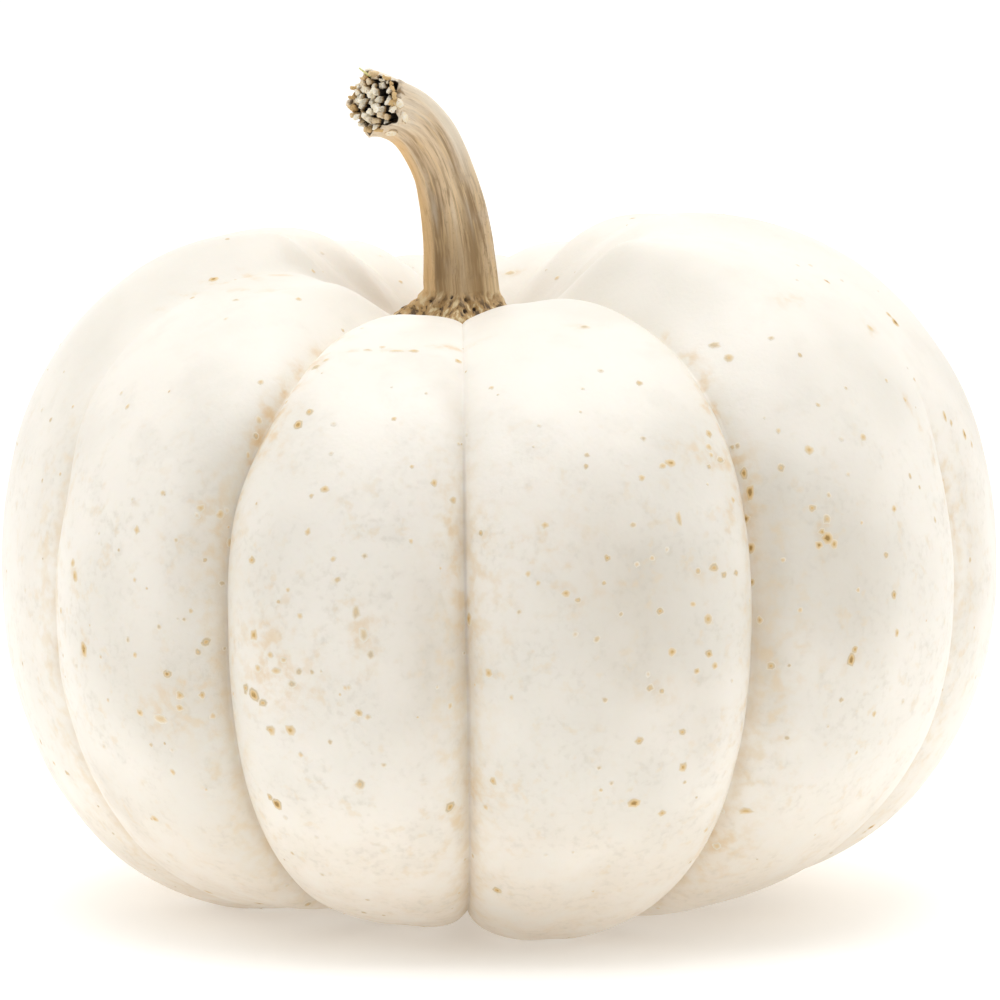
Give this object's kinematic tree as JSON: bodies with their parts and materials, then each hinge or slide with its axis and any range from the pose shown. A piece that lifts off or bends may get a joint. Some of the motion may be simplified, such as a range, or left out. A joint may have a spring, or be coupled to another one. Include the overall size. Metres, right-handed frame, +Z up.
{
  "type": "mini white pumpkin",
  "caption": "Small ribbed white pumpkin with a dried, bent stem, for table and seasonal display.",
  "frame": {"origin": "on the surface that the fruit rests on, under the middle of the part's box", "axes": "+Z up; -Y is the front, where two low lobes meet at an upright groove; the stem leans towards -X and -Y"},
  "size_m": [0.0798, 0.078, 0.0673],
  "materials": {
    "rind": "satin, cream white with tan specks",
    "dried_stem": "matt, dry and fibrous"
  },
  "bodies": {
    "root": {"fruit": "rind", "stem": "dried_stem"}
  },
  "joints": []
}
